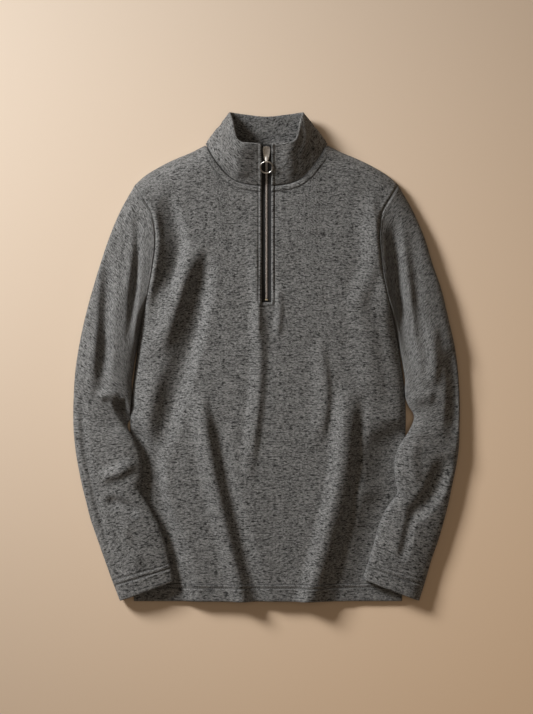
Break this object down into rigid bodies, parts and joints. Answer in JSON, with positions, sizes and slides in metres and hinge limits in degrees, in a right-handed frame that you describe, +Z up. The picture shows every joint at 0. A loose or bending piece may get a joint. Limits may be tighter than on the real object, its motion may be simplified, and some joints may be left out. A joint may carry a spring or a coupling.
{
  "type": "quarter zip sweater",
  "caption": "Flat-laid sweater of thick grey marled knit with set-in long sleeves folded at its sides, a stand collar and a quarter zip with a ring pull.",
  "frame": {"origin": "on the surface under the middle of the whole laid garment", "axes": "+Z up off the surface, +Y from the hem to the collar, +X to the wearer's left"},
  "size_m": [0.5995, 0.7583, 0.062],
  "materials": {
    "knit": "matte",
    "zip_tape": "matte",
    "zip_teeth": "satin",
    "zip_stop": "satin",
    "zip_metal": "polished"
  },
  "bodies": {
    "garment": {"front_panel": "knit", "back_panel": "knit", "sleeve_right": "knit", "sleeve_left": "knit", "collar": "knit", "zip_tape_right": "zip_tape", "zip_tape_left": "zip_tape", "zip_chain": "zip_teeth", "zip_bottom_stop": "zip_stop", "zip_slider": "zip_metal"},
    "zip_pull": {"zip_ring": "zip_metal"}
  },
  "joints": [
    {"name": "ring_swing", "type": "hinge", "parent": "garment", "child": "zip_pull", "pos_m": [0, 0.3003, 0.0513], "axis": [-1, 0, 0], "range_deg": [0, 150]}
  ]
}
